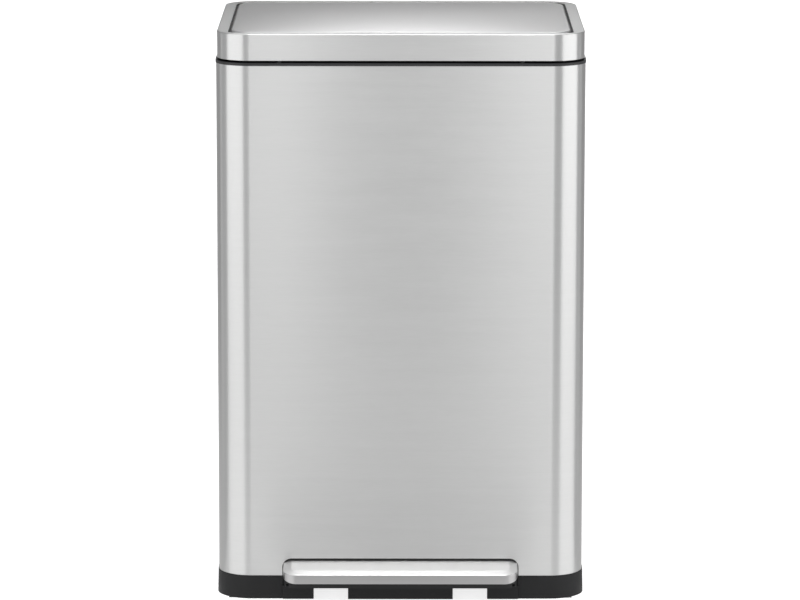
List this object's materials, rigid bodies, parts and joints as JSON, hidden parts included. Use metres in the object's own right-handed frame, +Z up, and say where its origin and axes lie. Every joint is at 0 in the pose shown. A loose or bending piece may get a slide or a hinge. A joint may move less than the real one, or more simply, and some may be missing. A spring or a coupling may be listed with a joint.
{
  "type": "pedal trash can",
  "caption": "Rectangular brushed-steel pedal bin with crowned hinged lid, black base and rim, lift-out inner bucket, and a foot pedal that opens the lid through levers and a push rod.",
  "frame": {"origin": "on the floor under the centre of the whole outline, pedal and hinge included", "axes": "+Z up, +X to the right seen from the front, -Y towards the user at the pedal"},
  "size_m": [0.4068, 0.364, 0.6342],
  "materials": {
    "brushed_body_steel": "stainless sheet with a fine horizontal brushed grain, satin",
    "brushed_pedal_steel": "pressed stainless sheet, fine brushed grain across the pedal",
    "base_black_plastic": "moulded black polypropylene with a fine spark-eroded texture",
    "rim_black_plastic": "smooth semi-matte black moulding",
    "mechanism_plastic": "plain black nylon moulding",
    "damper_plastic": "smooth dark acetal tube",
    "bucket_plastic": "dark grey polypropylene, slightly waxy",
    "foot_rubber": "matt soft rubber",
    "zinc_plate": "zinc-plated pressed steel",
    "zinc_rod": "bright zinc-plated rod and fasteners"
  },
  "bodies": {
    "body": {"base": "base_black_plastic", "deck": "base_black_plastic", "base_feet": "foot_rubber", "pedal_surround": "base_black_plastic", "body_shell": "brushed_body_steel", "top_frame": "rim_black_plastic", "inner_bucket": "bucket_plastic", "hinge_bracket": "mechanism_plastic", "hinge_backplate": "zinc_plate", "bracket_screws": "zinc_rod", "hinge_pin": "zinc_rod", "hinge_pin_clips": "zinc_rod", "upper_rod_guide": "mechanism_plastic", "lower_rod_guide": "mechanism_plastic", "guide_rivets": "zinc_rod", "damper_clip": "mechanism_plastic", "damper_cylinder": "damper_plastic", "pivot_rod": "zinc_rod", "pivot_clips": "zinc_rod", "lid_bumpers": "foot_rubber"},
    "lid": {"lid_frame": "brushed_body_steel", "lid_panel": "brushed_body_steel", "lid_liner": "rim_black_plastic", "lid_hinge": "zinc_plate", "leaf_screws": "zinc_rod", "crank_pin": "zinc_rod"},
    "push_rod_set": {"push_rod": "zinc_rod", "rod_head": "mechanism_plastic", "rod_foot": "mechanism_plastic", "damper_yoke": "mechanism_plastic", "damper_piston": "zinc_rod"},
    "pedal": {"pedal_tread": "brushed_pedal_steel", "pedal_carrier": "base_black_plastic", "left_lever_arm": "zinc_plate", "right_lever_arm": "zinc_plate", "lever_crossbar": "zinc_rod", "lever_bushes": "mechanism_plastic"}
  },
  "joints": [
    {"name": "lid_hinge_turn", "type": "hinge", "parent": "body", "child": "lid", "pos_m": [0, 0.176, 0.5975], "axis": [-1, 0, 0], "range_deg": [0, 78]},
    {"name": "pedal_pivot", "type": "hinge", "parent": "body", "child": "pedal", "pos_m": [0, -0.046, 0.026], "axis": [1, 0, 0], "range_deg": [0, 6.22]},
    {"name": "push_rod_slide", "type": "slide", "parent": "body", "child": "push_rod_set", "axis": [0, 0, 1], "range_m": [0, 0.02204]}
  ],
  "couplings": [
    {"joint": "pedal_pivot", "follows": "lid_hinge_turn", "ratio": 0.079682},
    {"joint": "push_rod_slide", "follows": "lid_hinge_turn", "m_per_rad": 0.01618}
  ]
}
